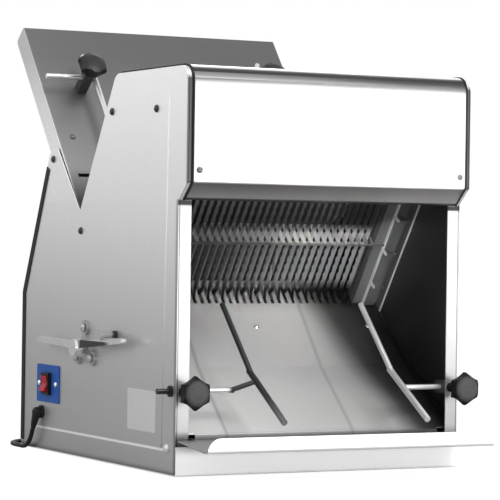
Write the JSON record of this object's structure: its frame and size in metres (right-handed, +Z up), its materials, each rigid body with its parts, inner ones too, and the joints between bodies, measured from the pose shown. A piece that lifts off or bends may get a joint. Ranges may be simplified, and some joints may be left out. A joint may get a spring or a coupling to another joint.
{
  "type": "bread slicer machine",
  "caption": "Table-top bread slicer with a steep infeed tray, leaning reciprocating blades under a polished hood, a discharge chute with adjustable guides and a side switch.",
  "frame": {"origin": "on the table under the middle of the machine, mains lead left out", "axes": "+X to the right seen from the front, +Y to the rear where the loaf goes in, +Z up; the slices leave towards -Y"},
  "size_m": [0.523, 0.7779, 0.6664],
  "materials": {
    "polished_steel": "polished",
    "satin_steel": "satin",
    "apron_paint": "satin",
    "grey_sheet": "satin",
    "blade_steel": "polished",
    "cast_alloy": "satin",
    "dark_iron": "matte",
    "motor_paint": "satin",
    "belt_rubber": "matte",
    "knob_plastic": "matte",
    "black_rubber": "matte",
    "blue_plastic": "satin",
    "black_plastic": "gloss",
    "red_plastic": "gloss"
  },
  "bodies": {
    "machine": {"left_panel": "satin_steel", "right_panel": "satin_steel", "base_pan": "apron_paint", "rear_cover": "satin_steel", "rear_edging": "black_rubber", "hood": "polished_steel", "hood_edging": "black_rubber", "column_back": "satin_steel", "infeed_tray": "grey_sheet", "tray_screws": "satin_steel", "chute": "grey_sheet", "upper_comb": "grey_sheet", "front_shelf": "polished_steel", "rubber_feet": "black_rubber", "left_rail": "satin_steel", "right_rail": "satin_steel", "bearing_stands": "dark_iron", "drive_motor": "motor_paint", "drive_belt": "belt_rubber", "outlet_clamps": "dark_iron", "rod_bushes": "black_rubber", "feed_posts": "dark_iron", "switch_plate": "blue_plastic", "switch_screws": "polished_steel", "switch_bezel": "black_plastic", "lever_flange": "satin_steel", "lever_stop": "dark_iron", "panel_screws": "satin_steel", "hood_screws": "satin_steel", "chute_screws": "satin_steel", "shelf_bolts": "polished_steel", "cord_gland": "black_rubber", "power_cord": "black_rubber", "cord_coil": "black_rubber", "cord_tie": "black_rubber", "power_plug": "black_rubber"},
    "crank": {"crankshaft": "dark_iron", "big_pulley": "dark_iron"},
    "motor_rotor": {"motor_pulley": "dark_iron"},
    "front_blade_frame": {"front_frame": "cast_alloy", "front_blades": "blade_steel"},
    "rear_blade_frame": {"rear_frame": "cast_alloy", "rear_blades": "blade_steel"},
    "left_outlet": {"left_outlet_guide": "satin_steel"},
    "right_outlet": {"right_outlet_guide": "satin_steel"},
    "left_outlet_star": {"left_outlet_knob": "knob_plastic"},
    "right_outlet_star": {"right_outlet_knob": "knob_plastic"},
    "left_feed": {"left_feed_guide": "satin_steel"},
    "right_feed": {"right_feed_guide": "satin_steel"},
    "left_feed_star": {"left_feed_knob": "knob_plastic"},
    "right_feed_star": {"right_feed_knob": "knob_plastic"},
    "rocker": {"switch_rocker": "red_plastic"},
    "lever": {"side_lever": "satin_steel", "idler_arm": "dark_iron"},
    "idler": {"idler_roller": "belt_rubber"}
  },
  "joints": [
    {"name": "crank_turn", "type": "hinge", "parent": "machine", "child": "crank", "pos_m": [0, 0.0526, 0.16809], "axis": [1, 0, 0], "range_deg": [-90, 90]},
    {"name": "front_frame_stroke", "type": "slide", "parent": "machine", "child": "front_blade_frame", "axis": [0, -0.5736, 0.8192], "range_m": [-0.0101, 0.0101]},
    {"name": "rear_frame_stroke", "type": "slide", "parent": "machine", "child": "rear_blade_frame", "axis": [0, -0.5736, 0.8192], "range_m": [-0.0101, 0.0101]},
    {"name": "motor_turn", "type": "hinge", "parent": "machine", "child": "motor_rotor", "pos_m": [-0.1705, 0.18724, 0.082], "axis": [1, 0, 0], "range_deg": [-190, 190]},
    {"name": "left_outlet_slide", "type": "slide", "parent": "machine", "child": "left_outlet", "axis": [1, 0, 0], "range_m": [-0.055, 0.018]},
    {"name": "right_outlet_slide", "type": "slide", "parent": "machine", "child": "right_outlet", "axis": [1, 0, 0], "range_m": [-0.03, 0.044]},
    {"name": "left_outlet_star_turn", "type": "hinge", "parent": "machine", "child": "left_outlet_star", "pos_m": [-0.219, -0.26276, 0.12], "axis": [0, -1, 0], "range_deg": [0, 360]},
    {"name": "right_outlet_star_turn", "type": "hinge", "parent": "machine", "child": "right_outlet_star", "pos_m": [0.219, -0.26276, 0.12], "axis": [0, -1, 0], "range_deg": [0, 360]},
    {"name": "left_feed_slide", "type": "slide", "parent": "machine", "child": "left_feed", "axis": [1, 0, 0], "range_m": [-0.001, 0.022]},
    {"name": "right_feed_slide", "type": "slide", "parent": "machine", "child": "right_feed", "axis": [1, 0, 0], "range_m": [-0.022, 0.001]},
    {"name": "left_feed_star_turn", "type": "hinge", "parent": "machine", "child": "left_feed_star", "pos_m": [-0.161, 0.21065, 0.59659], "axis": [0, -0.7782, 0.628], "range_deg": [0, 360]},
    {"name": "right_feed_star_turn", "type": "hinge", "parent": "machine", "child": "right_feed_star", "pos_m": [0.161, 0.21065, 0.59659], "axis": [0, -0.7782, 0.628], "range_deg": [0, 360]},
    {"name": "rocker_tilt", "type": "hinge", "parent": "machine", "child": "rocker", "pos_m": [-0.237, 0.19524, 0.106], "axis": [0, -1, 0], "range_deg": [0, 15]},
    {"name": "lever_swing", "type": "hinge", "parent": "machine", "child": "lever", "pos_m": [-0.249, 0.0526, 0.16809], "axis": [1, 0, 0], "range_deg": [0, 25]},
    {"name": "idler_spin", "type": "hinge", "parent": "lever", "child": "idler", "pos_m": [-0.1705, 0.14488, 0.16645], "axis": [1, 0, 0], "continuous": true}
  ],
  "couplings": [
    {"joint": "front_frame_stroke", "follows": "crank_turn", "m_per_rad": -0.0063662},
    {"joint": "rear_frame_stroke", "follows": "crank_turn", "m_per_rad": 0.0063662},
    {"joint": "motor_turn", "follows": "crank_turn", "ratio": 2.0837}
  ]
}
